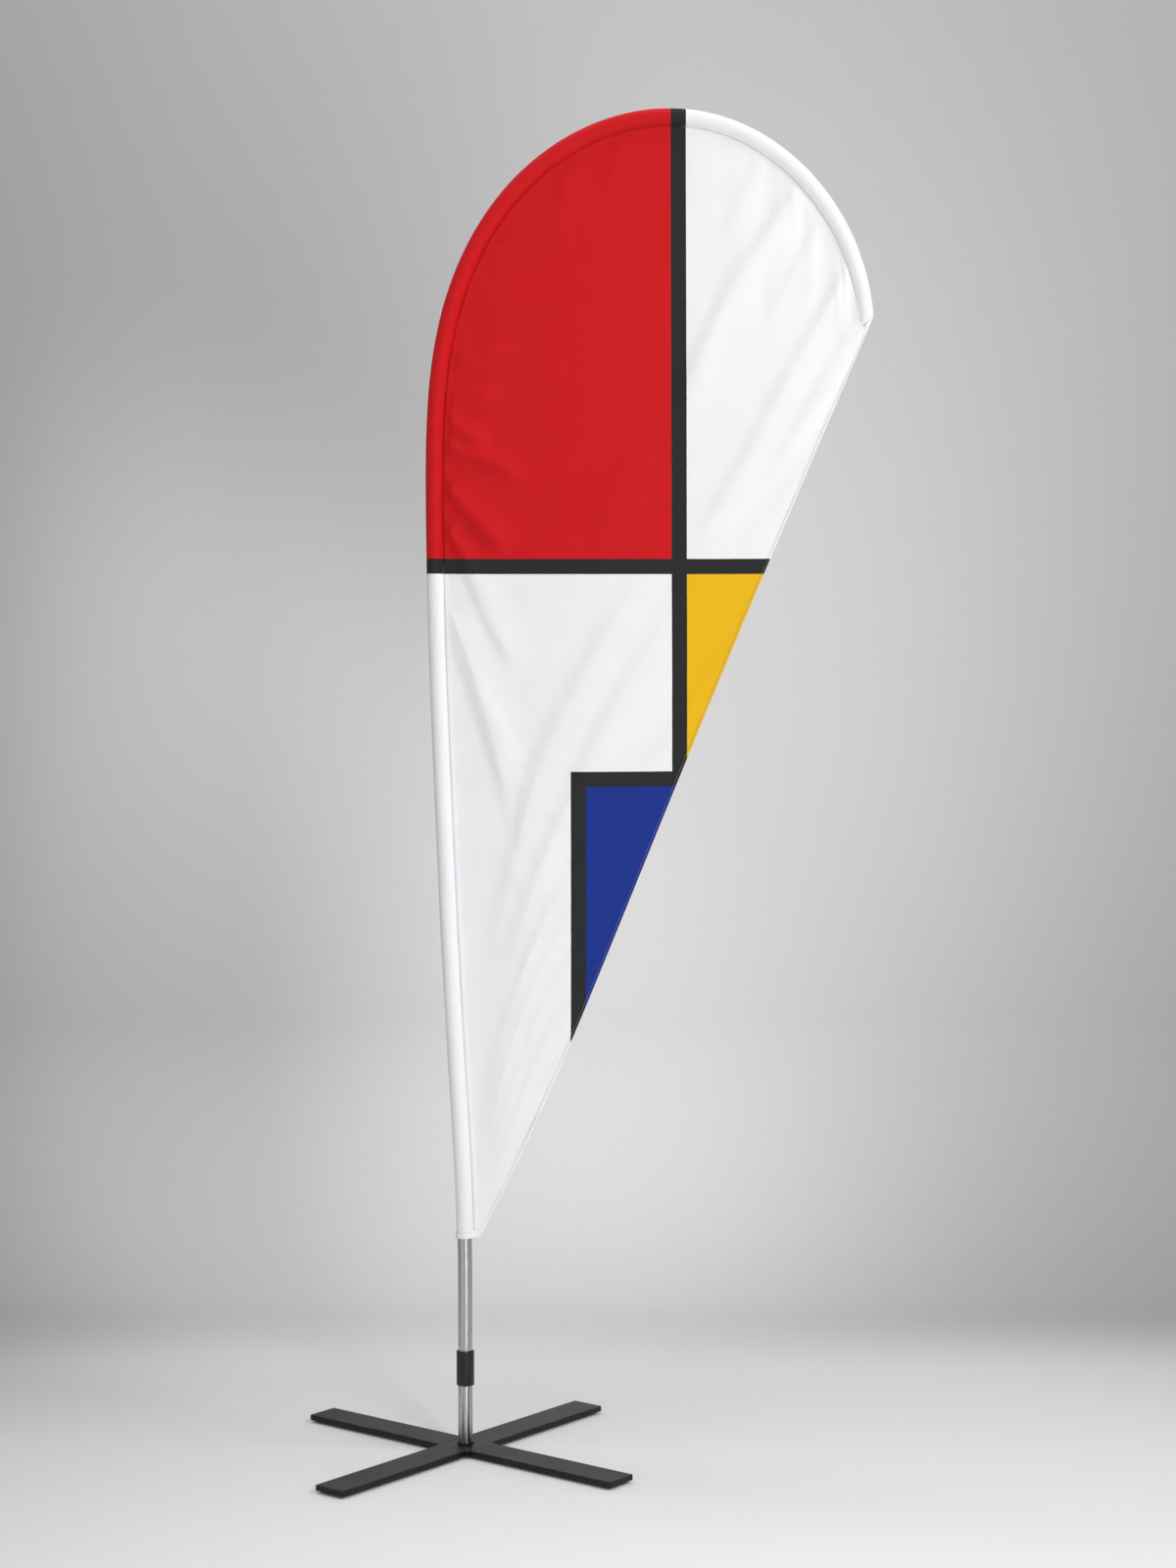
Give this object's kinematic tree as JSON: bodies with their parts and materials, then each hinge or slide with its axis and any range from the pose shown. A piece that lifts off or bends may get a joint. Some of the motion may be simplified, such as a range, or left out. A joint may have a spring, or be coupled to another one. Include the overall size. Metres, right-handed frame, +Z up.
{
  "type": "teardrop flag",
  "caption": "Free-standing teardrop flag: printed cloth on a bowed sectional pole that turns on a swivel post in a flat cross base.",
  "frame": {"origin": "on the post's axis at floor level, in the centre of the pad under the crossing", "axes": "+Z up along the post; the cloth lies in the XZ plane and the pole arches towards +X; -Y is the front"},
  "size_m": [0.9942, 0.5786, 2.3259],
  "materials": {
    "base_enamel": "satin black powder coat",
    "foot_rubber": "matt",
    "screw_steel": "plain",
    "post_steel": "polished stainless, drawn along its length",
    "ring_rubber": "matt",
    "plug_steel": "turned",
    "disc_steel": "ground",
    "bush_nylon": "turned nylon",
    "spindle_steel": "turned",
    "clip_steel": "spring wire",
    "collar_plastic": "satin moulded",
    "pole_steel": "polished stainless, drawn along its length",
    "pole_glass": "pultruded fibreglass",
    "ring_steel": "pressed band",
    "cap_rubber": "matt",
    "printed_cloth": "knitted polyester with plain colour fields",
    "sleeve_cloth": "knitted polyester, doubled",
    "hem_cloth": "folded and stitched",
    "pocket_cloth": "folded webbing"
  },
  "bodies": {
    "base": {"base_bar_lower": "base_enamel", "base_bar_upper": "base_enamel", "base_foot_1": "foot_rubber", "base_foot_2": "foot_rubber", "base_foot_3": "foot_rubber", "base_foot_4": "foot_rubber", "centre_pad": "foot_rubber", "hub_screw": "screw_steel", "post_plug": "plug_steel", "foot_ring": "ring_rubber", "post_tube": "post_steel", "thrust_disc": "disc_steel", "bush_lower": "bush_nylon", "bush_upper": "bush_nylon"},
    "rotor": {"spindle": "spindle_steel", "spindle_clip": "clip_steel", "collar": "collar_plastic"},
    "mast": {"pole_section_1": "pole_steel", "pole_section_2": "pole_glass", "pole_section_3": "pole_glass", "pole_section_4": "pole_glass", "reducer_bush": "bush_nylon", "joint_ring_2": "ring_steel", "joint_ring_3": "ring_steel", "tip_cap": "cap_rubber", "flag_sleeve": "sleeve_cloth", "tip_pocket": "pocket_cloth", "flag_panel": "printed_cloth", "leading_hem": "hem_cloth", "bottom_hem": "hem_cloth"}
  },
  "joints": [
    {"name": "flag_swivel", "type": "hinge", "parent": "base", "child": "rotor", "pos_m": [0, 0, 0.1476], "axis": [0, 0, 1], "continuous": true},
    {"name": "mast_lift", "type": "slide", "parent": "rotor", "child": "mast", "axis": [0, 0, 1], "range_m": [0, 0.09]}
  ]
}
